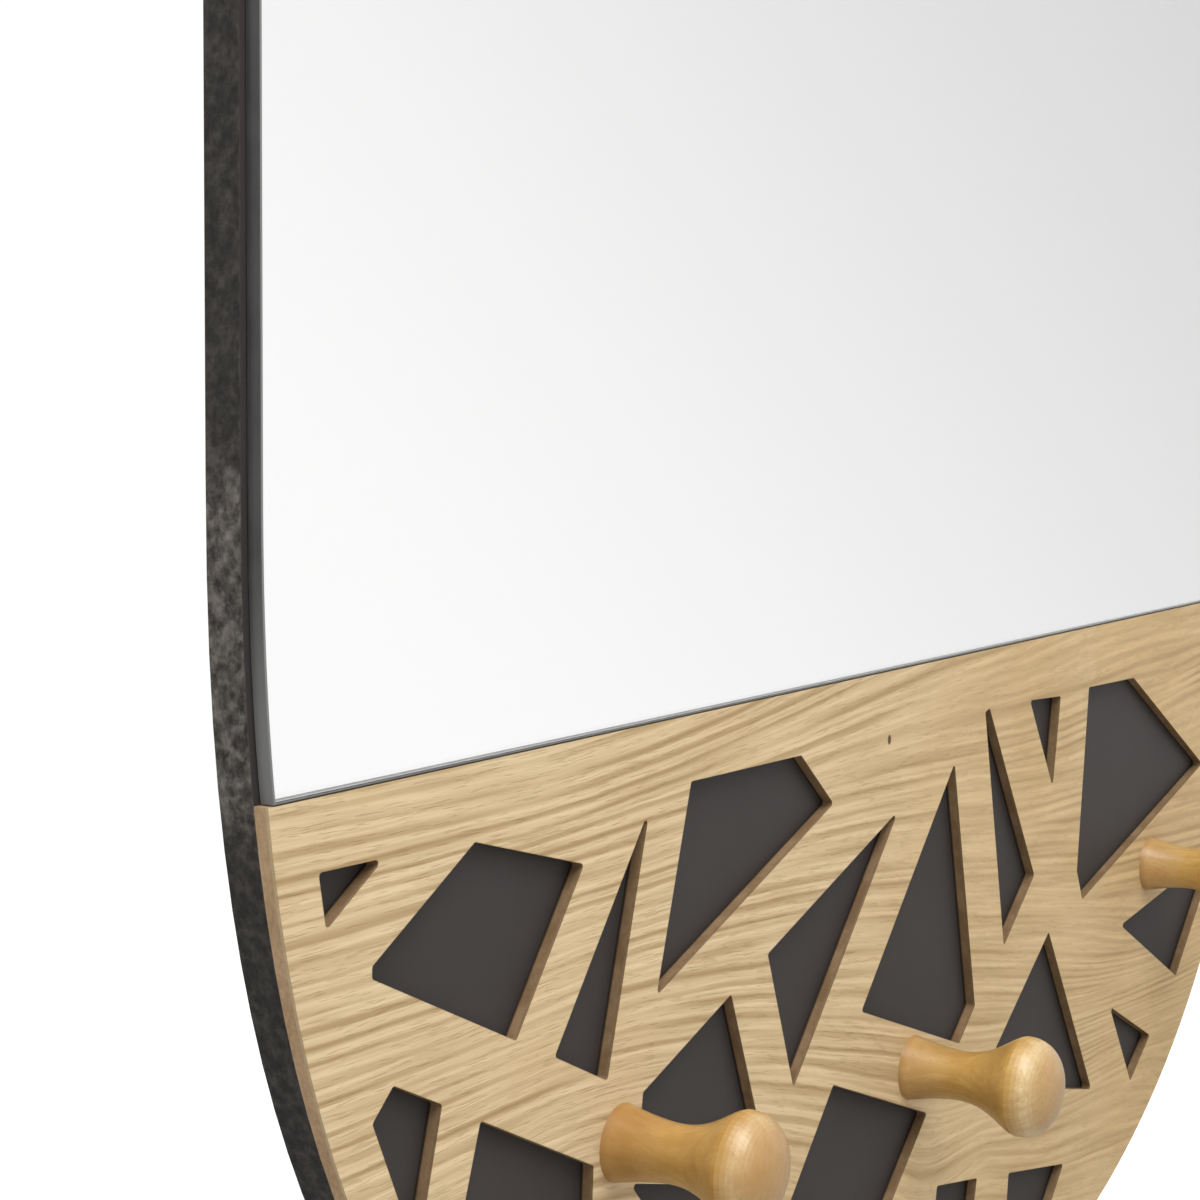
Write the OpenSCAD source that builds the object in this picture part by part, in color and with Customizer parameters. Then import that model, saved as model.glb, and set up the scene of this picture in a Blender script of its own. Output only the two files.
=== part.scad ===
// Wall mirror with a row of coat pegs.
// A painted backing board carries a mirror above and an oak faced panel with shard
// shaped cut-outs below. Three turned pegs are screwed on through the back, and two
// keyhole plates let into the back hang it on wall screws.
//
// X runs along the wall, +Z is up and the front faces -Y. The origin lies in the
// plane of the board's back, midway between the entry holes of the keyhole plates.

/* [Backing board] */
// Width of the board
board_w = 520; // [440:5:620]
// Height of the board
board_h = 750; // [640:10:900]
// Height of the curved end at the top and at the bottom
end_h = 239; // [180:1:290]
// Fullness of the curved ends, where 2 is an ellipse and more is squarer
end_fullness = 2.4; // [2:0.1:3]
// Thickness of the board
board_t = 7.2; // [6.6:0.2:12]

/* [Mirror] */
// Thickness of the glass
glass_t = 2.8; // [2.4:0.2:4]
// Thickness of the silver and its back coat
silvering_t = 0.1; // [0.05:0.05:0.2]
// How far the glass stands in from the board's outline
glass_inset = 1.5; // [0.5:0.5:6]
// Joint between the glass and the panel below it
glass_gap = 0.4; // [0.2:0.2:3]

/* [Mirror tape] */
// Thickness of the double sided tape
tape_t = 0.2; // [0.1:0.1:1]
// Width of a tape strip
tape_w = 20; // [10:1:30]
// Distance between neighbouring strips, centre to centre
tape_pitch = 100; // [60:5:105]
// How far a strip's ends stay inside the glass
tape_margin = 14; // [6:1:30]

/* [Panel] */
// Height of the panel, from its straight top edge down to the lowest point
panel_h = 186; // [150:1:240]
// Thickness of the panel's core
core_t = 2.4; // [2:0.2:8]
// Thickness of the oak face
veneer_t = 0.6; // [0.4:0.1:1]
// Corner radius left by the cutter in the cut-outs
cut_r = 0.7; // [0.3:0.1:1.2]

/* [Pegs] */
// Diameter of a peg where it stands on the panel
peg_base_d = 16; // [13:0.5:18]
// Diameter of a peg's waist
peg_waist_d = 12; // [9:0.2:13]
// Distance from the panel to the waist
peg_waist_at = 12.5; // [9:0.5:16]
// Diameter of the head of the centre and the right peg
peg_head_d = 24; // [19:0.2:30]
// Distance from the panel to the widest part of these heads
peg_head_at = 29.2; // [24:0.2:36]
// Length of the centre and the right peg
peg_l = 38.5; // [34:0.5:50]
// Diameter of the head of the left peg, which is a little smaller
left_head_d = 22.4; // [19:0.2:30]
// Distance from the panel to the widest part of the left head
left_head_at = 27.6; // [24:0.2:34]
// Length of the left peg
left_peg_l = 36; // [34:0.5:50]
// Fullness of the dome on a head, where 2 is an ellipse and more is squarer
dome_fullness = 2.3; // [2:0.1:3]

/* [Peg screws] */
// Shank diameter of a peg screw
peg_screw_d = 4; // [3:0.5:4.5]
// Head diameter of a peg screw
peg_screw_head_d = 8; // [6:0.5:9]
// Depth of the countersunk head
peg_screw_head_h = 2.4; // [1.5:0.1:3]
// How deep a peg screw goes into its peg
peg_screw_bite = 20; // [10:1:26]

/* [Keyhole plates] */
// Distance between the two entry holes
hanger_pitch = 300; // [200:10:360]
// How far the entry holes lie below the top of the board
hanger_drop = 164; // [120:1:220]
// Diameter of the entry hole, for the head of a wall screw
entry_d = 9; // [7:0.5:11]
// Width of the slot above it, for the neck of the wall screw
slot_w = 4.5; // [3.5:0.5:5]
// How far the mirror drops on its wall screws, from the entry to the end of the slot
slot_travel = 12; // [8:1:16]
// Width of a plate
plate_w = 18; // [16:0.5:24]
// Distance between a plate's two screws
plate_screw_pitch = 36; // [34:1:44]
// Distance from a screw to the end of the plate
plate_end = 6; // [4.5:0.5:8]
// Thickness of a plate
plate_t = 1.5; // [1:0.1:2]
// Gap around a plate in its recess
plate_clearance = 0.2; // [0.1:0.1:0.6]
// Depth of the pocket behind a plate, for the head of the wall screw
head_room = 3.2; // [2.4:0.1:4]
// Gap around the wall screw's head in the pocket
head_clearance = 1.5; // [0.5:0.1:2]

/* [Plate screws] */
// Shank diameter of a plate screw
plate_screw_d = 3; // [2:0.5:3.5]
// Head diameter of a plate screw
plate_screw_head_d = 6; // [4.5:0.5:7]
// Depth of the countersunk head
plate_screw_head_h = 1.5; // [1:0.1:2]
// Board left in front of the tip of a plate screw
plate_screw_skin = 1.2; // [0.6:0.1:2]

/* [Wall pads] */
// Diameter of a felt pad
pad_d = 20; // [12:1:30]
// Thickness of a felt pad
pad_t = 2; // [1:0.5:4]
// Distance between the left and the right pads
pad_pitch = 260; // [160:5:280]
// How far the pads lie inside the board's top and bottom
pad_end = 66; // [50:1:90]

/* [Screw holes] */
// Gap around a shank where it passes freely
shank_clearance = 0.25; // [0.1:0.05:0.5]
// Width of the cross recess in a screw head
recess_w = 0.9; // [0.6:0.1:1.2]

/* [Hidden] */

// Heights of the main lines, measured from the entry holes
top_z = hanger_drop;
bottom_z = top_z - board_h;
border_z = bottom_z + panel_h;

// Depths of the layers, measured from the board's back towards the front
tape_at = board_t;
silvering_at = tape_at + tape_t;
glass_at = silvering_at + silvering_t;
core_at = board_t;
veneer_at = core_at + core_t;
front_at = veneer_at + veneer_t;

// Points along a quarter of a curved end, and along a corner or a peg's curves
end_steps = 40;
corner_steps = 3;
peg_steps = 14;
round_fn = 64;

// A cut has to start and end a little outside what it cuts
over = 1;

// The cut-outs and pegs are drawn on a panel of this width and height. Points are
// in mm, from the left end of the panel's top edge, with x to the right and z down.
pattern_w = 520;
pattern_h = 186;
peg_spots = [[111.7, 83.2], [248.4, 99.9], [414, 76]];
shards = [
    [[15.8, 12.6], [33.7, 13], [17.8, 22.6]],
    [[60.6, 14.4], [97.2, 24.4], [74.2, 54], [30.3, 33.4], [30.3, 31.2]],
    [[121.6, 16.7], [106.4, 69.3], [87.3, 60.1]],
    [[138, 13.8], [186.7, 14.5], [203, 27.7], [125, 56.1]],
    [[237.6, 34.3], [185.6, 89.9], [172.4, 56.7]],
    [[269.9, 26.9], [286.1, 92.5], [276.6, 100.3], [219.5, 79.7]],
    [[288.4, 16], [291.2, 15.4], [324, 64.5], [304.2, 80.3]],
    [[318, 16.2], [339.8, 17.3], [335.6, 42]],
    [[360.8, 17], [396.6, 17.9], [460.5, 51.5], [360, 77.5], [355.3, 68.5]],
    [[335.5, 82.3], [371.2, 135.2], [288.8, 115.2]],
    [[156.2, 62.3], [170.8, 97.3], [122.6, 86], [119.7, 78], [120.1, 75]],
    [[36.4, 53.4], [50.8, 60.3], [43.6, 86], [30.4, 58.7]],
    [[62.8, 66.3], [101.6, 85.2], [100.4, 112], [52.8, 95.1]],
    [[205.5, 94], [257.8, 113.8], [218, 149], [171.1, 130.9]],
    [[115.3, 92.6], [160, 105.2], [150, 129]],
    [[264.9, 134.5], [290.1, 139.4], [283, 167], [259, 168]],
    [[311.3, 143.8], [351, 151.9], [334, 169], [309.7, 158.3]],
    [[391.6, 90.8], [477.5, 81.5], [441.6, 116]],
    [[384.3, 113.6], [419.5, 130], [403.5, 140.5]],
    [[457, 19], [489, 14], [480, 44]],
    [[468, 60], [490, 50], [484, 74]],
    [[66, 108], [98, 122], [88, 137]],
    [[168, 140], [208, 158], [176, 166]]
];

// Height of the outline below the top of a curved end, at a distance from the centre
function end_drop(x) =
    let (across = abs(x) / (board_w / 2))
    end_h - end_h * pow(1 - pow(across, end_fullness), 1 / end_fullness);

// A point on a curved end, drawn in by an inset square to the curve
function end_point(a, inset) =
    let (
        w = board_w / 2,
        x = w * pow(cos(a), 2 / end_fullness),
        z = end_h * pow(sin(a), 2 / end_fullness),
        slope = [pow(x / w, end_fullness - 1) / w, pow(z / end_h, end_fullness - 1) / end_h]
    )
    [x, z] - inset * slope / norm(slope);

// The board's outline: two straight sides between two curved ends
function outline(inset) =
    let (
        quarter = [for (i = [0:end_steps]) end_point(90 * i / end_steps, inset)],
        last = len(quarter) - 1,
        top = top_z - end_h,
        bottom = bottom_z + end_h
    )
    concat(
        [for (i = [0:last]) [quarter[i].x, top + quarter[i].y]],
        [for (i = [last - 1:-1:0]) [-quarter[i].x, top + quarter[i].y]],
        [for (i = [0:last]) [-quarter[i].x, bottom - quarter[i].y]],
        [for (i = [last - 1:-1:0]) [quarter[i].x, bottom - quarter[i].y]]
    );

// A place on the panel, from a point of the pattern
function on_panel(p) = [
    (p.x / pattern_w - 0.5) * board_w,
    border_z - p.y / pattern_h * panel_h
];

// An arc that rounds the corner p between its neighbours a and b
function corner(a, p, b, r) =
    let (
        u = (a - p) / norm(a - p),
        v = (b - p) / norm(b - p),
        half = acos(u * v) / 2,
        reach = min(r / tan(half), 0.45 * norm(a - p), 0.45 * norm(b - p)),
        radius = reach * tan(half),
        middle = p + (u + v) / norm(u + v) * radius / sin(half),
        from = p + u * reach - middle,
        to = p + v * reach - middle,
        turn = 180 - 2 * half
    )
    [for (i = [0:corner_steps])
        let (share = i / corner_steps)
        middle + (sin(turn * (1 - share)) * from + sin(turn * share) * to) / sin(turn)];

function rounded(points, r) =
    let (n = len(points))
    [for (i = [0:n - 1]) each corner(points[(i + n - 1) % n], points[i], points[(i + 1) % n], r)];

// Diameter of each peg's head, how far from the panel it is widest, and each peg's length
peg_forms = [
    [left_head_d, left_head_at, left_peg_l],
    [peg_head_d, peg_head_at, peg_l],
    [peg_head_d, peg_head_at, peg_l]
];

// How hollow a peg's foot is, how late its head swells out, and how it turns over at its
// widest part. Higher powers bend more sharply.
foot_power = 1.5;
swell_power = 2.4;
turn_power = 1.5;

// Radius of a peg between the panel and the widest part of its head
function peg_radius(y, head_d, head_at) =
    let (
        base = peg_base_d / 2,
        waist = peg_waist_d / 2,
        flare = 1 - y / peg_waist_at,
        swell = (y - peg_waist_at) / (head_at - peg_waist_at)
    )
    y < peg_waist_at
        ? waist + (base - waist) * pow(flare, foot_power)
        : waist + (head_d / 2 - waist) * (1 - pow(1 - pow(swell, swell_power), turn_power));

// Half the section of a peg: flared foot, waist, swelling head and domed front
function peg_section(head_d, head_at, length) =
    let (
        neck_steps = 2 * peg_steps,
        neck = [for (i = [0:neck_steps - 1])
            let (y = head_at * i / neck_steps)
            [peg_radius(y, head_d, head_at), y]],
        dome = [for (i = [0:peg_steps])
            let (
                a = 90 * i / peg_steps,
                across = pow(cos(a), 2 / dome_fullness),
                along = pow(sin(a), 2 / dome_fullness)
            )
            [head_d / 2 * across, head_at + (length - head_at) * along]]
    )
    concat([[0, 0]], neck, [for (p = dome) [max(p.x, 0), p.y]]);

// A flat layer, drawn in the plane of the wall, from one depth towards the front
module layer(depth, thickness) {
    translate([0, -depth, 0])
        rotate([90, 0, 0])
            linear_extrude(height = thickness)
                children();
}

// Something turned about an axis that stands out from a point of the board
module standing(point, depth) {
    translate([point.x, -depth, point.y])
        rotate([90, 0, 0])
            children();
}

module mirror_outline() {
    intersection() {
        polygon(outline(glass_inset));
        translate([-board_w, border_z + glass_gap])
            square([2 * board_w, board_h]);
    }
}

module panel_outline() {
    difference() {
        polygon(outline(0));
        translate([-board_w, border_z])
            square([2 * board_w, board_h]);
        for (shard = shards)
            polygon(rounded([for (p = shard) on_panel(p)], cut_r));
    }
}

// A slot with round ends, from one height to another
module stadium(x, low, high, width) {
    for (z = [low, high])
        translate([x, z])
            circle(d = width, $fn = round_fn);
    translate([x - width / 2, low])
        square([width, high - low]);
}

// A countersunk wood screw that stands in the board's back, head outwards
module screw(shank_d, head_d, head_h, length) {
    tip_h = shank_d;
    recess_l = head_d * 0.6;
    difference() {
        union() {
            cylinder(h = head_h, d1 = head_d, d2 = shank_d, $fn = round_fn);
            cylinder(h = length - tip_h, d = shank_d, $fn = round_fn);
            translate([0, 0, length - tip_h])
                cylinder(h = tip_h, d1 = shank_d, d2 = shank_d / 4, $fn = round_fn);
        }
        for (turn = [0, 90])
            rotate([0, 0, turn])
                translate([-recess_l / 2, -recess_w / 2, -over])
                    cube([recess_l, recess_w, over + head_h * 0.6]);
    }
}

// The countersunk hole that such a screw passes freely
module screw_hole(shank_d, head_d, head_h, length) {
    cylinder(h = head_h, d1 = head_d, d2 = shank_d, $fn = round_fn);
    translate([0, 0, -over])
        cylinder(h = length + 2 * over, d = shank_d + 2 * shank_clearance, $fn = round_fn);
}

// The hole that such a screw cuts its thread in
module pilot_hole(shank_d, length) {
    translate([0, 0, -over])
        cylinder(h = over + length - shank_d, d = shank_d, $fn = round_fn);
    translate([0, 0, length - shank_d])
        cylinder(h = shank_d, d1 = shank_d, d2 = shank_d / 4, $fn = round_fn);
}

peg_screw_l = front_at + peg_screw_bite;
plate_screw_l = board_t - plate_screw_skin;
plate_middle = slot_travel / 2;
plate_screw_heights = [plate_middle - plate_screw_pitch / 2, plate_middle + plate_screw_pitch / 2];

module plate_outline(x, gap) {
    half = plate_screw_pitch / 2 + plate_end;
    translate([x, plate_middle])
        square([plate_w + 2 * gap, 2 * half - plate_w], center = true);
    for (side = [-1, 1])
        translate([x, plate_middle + side * (half - plate_w / 2)])
            circle(d = plate_w + 2 * gap, $fn = round_fn);
}

module backing_board() {
    color("#3f3b3a")
        difference() {
            layer(0, board_t)
                polygon(outline(0));
            for (side = [-1, 1]) {
                x = side * hanger_pitch / 2;
                layer(-over, over + plate_t)
                    plate_outline(x, plate_clearance);
                layer(-over, over + plate_t + head_room)
                    stadium(x, 0, slot_travel, entry_d + 2 * head_clearance);
                for (z = plate_screw_heights)
                    standing([x, z], 0)
                        pilot_hole(plate_screw_d, plate_screw_l);
            }
            for (spot = peg_spots)
                standing(on_panel(spot), 0)
                    screw_hole(peg_screw_d, peg_screw_head_d, peg_screw_head_h, front_at);
        }
}

module mirror_glass() {
    color("#cfdcdc")
        layer(glass_at, glass_t)
            mirror_outline();
}

module mirror_silvering() {
    color("#e4e6e8")
        layer(silvering_at, silvering_t)
            mirror_outline();
}

// Strips 1 to 5 run from left to right, each cut to the glass above it
module tape_strip(number) {
    x = (number - 3) * tape_pitch;
    low = border_z + glass_gap + tape_margin;
    high = top_z - glass_inset - end_drop(abs(x) + tape_w / 2) - tape_margin;
    color("#d8d6cf")
        layer(tape_at, tape_t)
            translate([x - tape_w / 2, low])
                square([tape_w, high - low]);
}

module panel_core() {
    color("#94795a")
        difference() {
            layer(core_at, core_t)
                panel_outline();
            for (spot = peg_spots)
                standing(on_panel(spot), core_at)
                    screw_hole(peg_screw_d, peg_screw_d, over, core_t);
        }
}

module panel_veneer() {
    color("#dec494")
        difference() {
            layer(veneer_at, veneer_t)
                panel_outline();
            for (spot = peg_spots)
                standing(on_panel(spot), veneer_at)
                    screw_hole(peg_screw_d, peg_screw_d, over, veneer_t);
        }
}

module peg(number) {
    form = peg_forms[number];
    color("#cf9f60")
        standing(on_panel(peg_spots[number]), front_at)
            difference() {
                rotate_extrude($fn = 96)
                    polygon(peg_section(form[0], form[1], form[2]));
                pilot_hole(peg_screw_d, peg_screw_bite);
            }
}

module peg_screws() {
    color("#b9b6a8")
        for (spot = peg_spots)
            standing(on_panel(spot), 0)
                screw(peg_screw_d, peg_screw_head_d, peg_screw_head_h, peg_screw_l);
}

module hanger_plate(side) {
    x = side * hanger_pitch / 2;
    color("#b4b7ba")
        difference() {
            layer(0, plate_t)
                plate_outline(x, 0);
            standing([x, 0], -over)
                cylinder(h = plate_t + 2 * over, d = entry_d, $fn = round_fn);
            layer(-over, plate_t + 2 * over)
                stadium(x, 0, slot_travel, slot_w);
            for (z = plate_screw_heights)
                standing([x, z], 0)
                    screw_hole(plate_screw_d, plate_screw_head_d, plate_screw_head_h, plate_t);
        }
}

module hanger_screws() {
    color("#c4b98c")
        for (side = [-1, 1])
            for (z = plate_screw_heights)
                standing([side * hanger_pitch / 2, z], 0)
                    screw(plate_screw_d, plate_screw_head_d, plate_screw_head_h, plate_screw_l);
}

module wall_pad(side, end) {
    middle_z = (top_z + bottom_z) / 2;
    z = middle_z + end * (board_h / 2 - pad_end);
    color("#8d8a84")
        standing([side * pad_pitch / 2, z], -pad_t)
            cylinder(h = pad_t, d = pad_d, $fn = round_fn);
}

backing_board();
mirror_glass();
mirror_silvering();
tape_strip(1);  // tape_strip_1
tape_strip(2);  // tape_strip_2
tape_strip(3);  // tape_strip_3
tape_strip(4);  // tape_strip_4
tape_strip(5);  // tape_strip_5
panel_core();
panel_veneer();
peg(0);  // peg_left
peg(1);  // peg_centre
peg(2);  // peg_right
peg_screws();
hanger_plate(-1);  // hanger_plate_left
hanger_plate(1);  // hanger_plate_right
hanger_screws();
wall_pad(-1, 1);  // wall_pad_upper_left
wall_pad(1, 1);  // wall_pad_upper_right
wall_pad(-1, -1);  // wall_pad_lower_left
wall_pad(1, -1);  // wall_pad_lower_right
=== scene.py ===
"""Looks of a wall mirror with an oak panel and three turned coat pegs.

The frame brings every solid at its real size, in metres: X runs along the wall, +Z is up and
the front faces -Y. This script gives each piece its finish, makes the mirror pane with its
ground edge, and sets the floor, the light and the camera.

A pair of numbers reads: from, to. A step between two thresholds keeps its end values beyond them.
"""

import math

import bpy
from mathutils import Matrix, Vector


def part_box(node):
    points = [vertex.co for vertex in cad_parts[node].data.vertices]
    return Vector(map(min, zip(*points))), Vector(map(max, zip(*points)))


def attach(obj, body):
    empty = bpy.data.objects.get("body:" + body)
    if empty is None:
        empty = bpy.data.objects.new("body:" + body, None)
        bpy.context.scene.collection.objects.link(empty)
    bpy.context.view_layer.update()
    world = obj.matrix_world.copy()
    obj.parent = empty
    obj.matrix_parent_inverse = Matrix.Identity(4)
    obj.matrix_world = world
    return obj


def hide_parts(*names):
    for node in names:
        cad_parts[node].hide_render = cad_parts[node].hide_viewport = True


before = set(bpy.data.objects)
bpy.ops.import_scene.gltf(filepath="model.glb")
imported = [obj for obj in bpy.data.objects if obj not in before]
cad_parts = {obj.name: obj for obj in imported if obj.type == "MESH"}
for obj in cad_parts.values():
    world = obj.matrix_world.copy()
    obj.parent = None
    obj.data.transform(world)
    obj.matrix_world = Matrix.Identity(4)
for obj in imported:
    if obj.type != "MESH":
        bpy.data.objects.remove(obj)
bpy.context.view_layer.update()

MM = 0.001
FULL_TURN = 2 * math.pi

# The board's outline: straight sides between two rounded ends
board_low, board_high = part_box("backing_board")
BOARD_HALF_W = board_high.x
BOARD_TOP = board_high.z
BOARD_BOTTOM = board_low.z
END_H = 239 * MM
END_FULLNESS = 2.4

# The mirror pane: its back is set a hair into the silvering, so that no film of air shows, and its
# lower edge reaches a hair further into the joint above the panel than the solid's does
glass_low, glass_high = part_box("mirror_glass")
GLASS_INSET = BOARD_TOP - glass_high.z
PANE_SET_BACK = 0.05 * MM
PANE_SET_DOWN = 0.2 * MM
PANE_LOW = glass_low.z - PANE_SET_DOWN
PANE_BACK = glass_high.y + PANE_SET_BACK
PANE_FRONT = glass_low.y
PANE_ARRIS = 0.35 * MM
ARRIS_STEPS = 3
PANE_STEPS = 140
CORNER_CLEAR = 0.2 * MM

# The panel's straight upper edge
PANEL_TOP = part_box("panel_core")[1].z

# The floor lies a hair under the board's lowest point, and fades out before its own rim
FLOOR_GAP = 0.4 * MM
FLOOR_Z = BOARD_BOTTOM - FLOOR_GAP
FLOOR_RADIUS = 1.0
FLOOR_FADES = (0.55 * FLOOR_RADIUS, 0.97 * FLOOR_RADIUS)
FLOOR_STEPS = 96

# The camera: where it stands, its turns in degrees, and its lens
CAMERA_AT = (-0.56224, -0.26473, -0.33007)
CAMERA_YAW = 57.803
CAMERA_PITCH = 5.214
CAMERA_ROLL = 0.542
LENS_MM = 74.78
SENSOR_MM = 36.0
NEAREST_SEEN = 10 * MM

# Edges sharper than this stay sharp where a surface is shaded smooth, in degrees
SHARP_ANGLE = 30

# Where a Mix node keeps its sockets for colours, among those for other kinds of value
MIX_FACTOR = 0
MIX_FIRST = 6
MIX_SECOND = 7
MIX_RESULT = 2

# The middle of the values that a noise gives
NOISE_MIDDLE = 0.5


class Tree:
    """Adds nodes to one node tree and joins their sockets."""

    def __init__(self, tree):
        self.tree = tree

    def feed(self, socket, value):
        """Joins a socket to another node's output, or gives it a plain value."""
        if isinstance(value, bpy.types.NodeSocket):
            self.tree.links.new(value, socket)
        else:
            socket.default_value = value

    def add(self, kind, inputs=None, **settings):
        made = self.tree.nodes.new(kind)
        for name, value in settings.items():
            setattr(made, name, value)
        for name, value in (inputs or {}).items():
            self.feed(made.inputs[name], value)
        return made

    def place(self, group, inputs):
        """A shared effect, placed with its own values."""
        return self.add("ShaderNodeGroup", inputs, node_tree=group).outputs

    def maths(self, operation, *values):
        made = self.add("ShaderNodeMath", operation=operation)
        for socket, value in zip(made.inputs, values):
            self.feed(socket, value)
        return made.outputs[0]

    def powers_summed(self, first, second, power=2.0):
        """Two numbers, each raised to a power, then added."""
        return self.maths("ADD", self.maths("POWER", first, power), self.maths("POWER", second, power))

    def parts(self, vector):
        return self.add("ShaderNodeSeparateXYZ", {"Vector": vector}).outputs

    def join(self, x, y, z):
        return self.add("ShaderNodeCombineXYZ", {"X": x, "Y": y, "Z": z}).outputs[0]

    def scaled(self, vector, factor):
        made = self.add("ShaderNodeVectorMath", {"Scale": factor}, operation="SCALE")
        self.feed(made.inputs[0], vector)
        return made.outputs["Vector"]

    def pair(self, operation, first, second):
        """Vector maths on two vectors."""
        made = self.add("ShaderNodeVectorMath", operation=operation)
        self.feed(made.inputs[0], first)
        self.feed(made.inputs[1], second)
        return made.outputs

    def times(self, vector, other):
        return self.pair("MULTIPLY", vector, other)["Vector"]

    def dot(self, vector, other):
        return self.pair("DOT_PRODUCT", vector, other)["Value"]

    def ramp(self, value, low, high, to_low=0.0, to_high=1.0):
        """A smooth step from one value to another, between two thresholds."""
        made = self.add("ShaderNodeMapRange", interpolation_type="SMOOTHSTEP")
        for socket, given in zip(made.inputs, (value, low, high, to_low, to_high)):
            self.feed(socket, given)
        return made.outputs[0]

    def fall(self, value, low, high):
        """A smooth step from 1 down to 0, between two thresholds."""
        return self.ramp(value, low, high, 1.0, 0.0)

    def noise(self, vector, detail, roughness=0.5):
        values = {"Vector": vector, "Scale": 1.0, "Detail": detail, "Roughness": roughness}
        return self.add("ShaderNodeTexNoise", values).outputs[0]

    def sway(self, vector, detail):
        """Noise that swings about 0."""
        return self.maths("SUBTRACT", self.noise(vector, detail), NOISE_MIDDLE)

    def colours(self, factor, first, second):
        """One colour turning into another as the factor goes from 0 to 1."""
        made = self.add("ShaderNodeMix", data_type="RGBA")
        self.feed(made.inputs[MIX_FACTOR], factor)
        self.feed(made.inputs[MIX_FIRST], first)
        self.feed(made.inputs[MIX_SECOND], second)
        return made.outputs[MIX_RESULT]

    def tinted(self, mask, strength, plain, tint):
        """A colour laid over a plain one where a mask is, at most as strong as given."""
        return self.colours(self.maths("MULTIPLY", mask, strength), plain, tint)

    def weighed(self, first, first_share, second, second_share):
        """Two masks added up, each by its own share."""
        rest = self.maths("MULTIPLY", second, second_share)
        return self.maths("MULTIPLY_ADD", first, first_share, rest)

    def either(self, share, first, second):
        """The first of two shaders where the share is 0, the second where it is 1."""
        made = self.add("ShaderNodeMixShader")
        for socket, given in zip(made.inputs, (share, first.outputs[0], second.outputs[0])):
            self.feed(socket, given)
        return made

    def position(self):
        return self.add("ShaderNodeTexCoord").outputs["Object"]

    def facing(self, kind="True Normal"):
        """The surface's own direction, by its three axes."""
        return self.parts(self.add("ShaderNodeNewGeometry").outputs[kind])

    def bump(self, height, distance, strength):
        values = {"Height": height, "Distance": distance, "Strength": strength}
        return self.add("ShaderNodeBump", values).outputs[0]


def shared_effect(name, inputs, outputs):
    """An empty node group: its tree, its inputs by name and its output sockets."""
    group = bpy.data.node_groups.new(name, "ShaderNodeTree")
    for label, value in inputs.items():
        kind = "NodeSocketFloat" if isinstance(value, float) else "NodeSocketVector"
        socket = group.interface.new_socket(label, in_out="INPUT", socket_type=kind)
        socket.default_value = value
    for label in outputs:
        group.interface.new_socket(label, in_out="OUTPUT", socket_type="NodeSocketFloat")
    tree = Tree(group)
    return tree, tree.add("NodeGroupInput").outputs, tree.add("NodeGroupOutput").inputs


ORIGIN = (0.0, 0.0, 0.0)

# The wood's figure: how its noises are stretched along, across and up the rings, and what part of
# each shows. Rings drift, fade in and out, and have finer lines between them
DRIFT_STRETCH = (1.0, 0.1, 0.34)
FADE_STRETCH = (3.5, 0.1, 0.6)
FIBRE_STRETCH = (5.0, 3.0, 3.0)
RINGS_SHOW = (-0.3, 1.0)
FINE_LINES_PER_RING = 2.6
RINGS_FADE = (0.3, 0.65)
FAINTEST_RING = 0.2
FIBRES_SHOW = (0.3, 0.7)
PORES_SHOW = (0.56, 0.7)


def make_wood_figure():
    """Grain along X with its rings stacked along Z: ring lines, fine fibres and open pores."""
    values = {
        "Position": ORIGIN,
        "Ring Spacing": 2.2 * MM,
        "Ring Length": 250 * MM,
        "Unevenness": 1.3,
        "Fine Lines": 0.2,
        "Pore Length": 6 * MM,
        "Pore Width": 0.4 * MM,
    }
    tree, given, out = shared_effect("wood_figure", values, ["Rings", "Fibres", "Pores"])
    position = given["Position"]
    per_length = tree.maths("DIVIDE", 1.0, given["Ring Length"])
    per_ring = tree.maths("DIVIDE", 1.0, given["Ring Spacing"])
    in_rings = tree.times(position, tree.join(per_length, per_ring, per_ring))
    drift = tree.sway(tree.times(in_rings, DRIFT_STRETCH), detail=2.0)
    count = tree.maths("MULTIPLY_ADD", drift, given["Unevenness"], tree.parts(in_rings)["Z"])
    wide = tree.ramp(tree.maths("SINE", tree.maths("MULTIPLY", count, FULL_TURN)), *RINGS_SHOW)
    fine_count = tree.maths("MULTIPLY", count, FINE_LINES_PER_RING * FULL_TURN)
    fine = tree.ramp(tree.maths("SINE", fine_count), *RINGS_SHOW)
    finer = tree.maths("MULTIPLY", tree.maths("SUBTRACT", fine, wide), given["Fine Lines"])
    fading = tree.noise(tree.times(in_rings, FADE_STRETCH), detail=1.0)
    depth = tree.ramp(fading, *RINGS_FADE, FAINTEST_RING, 1.0)
    tree.feed(out["Rings"], tree.maths("MULTIPLY", tree.maths("ADD", wide, finer), depth))
    fibres = tree.noise(tree.times(in_rings, FIBRE_STRETCH), detail=4.0, roughness=0.65)
    tree.feed(out["Fibres"], tree.ramp(fibres, *FIBRES_SHOW))
    per_pore = tree.maths("DIVIDE", 1.0, given["Pore Length"])
    per_width = tree.maths("DIVIDE", 1.0, given["Pore Width"])
    dashes = tree.times(position, tree.join(per_pore, per_width, per_width))
    tree.feed(out["Pores"], tree.ramp(tree.noise(dashes, detail=1.0), *PORES_SHOW))
    return tree.tree


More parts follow.
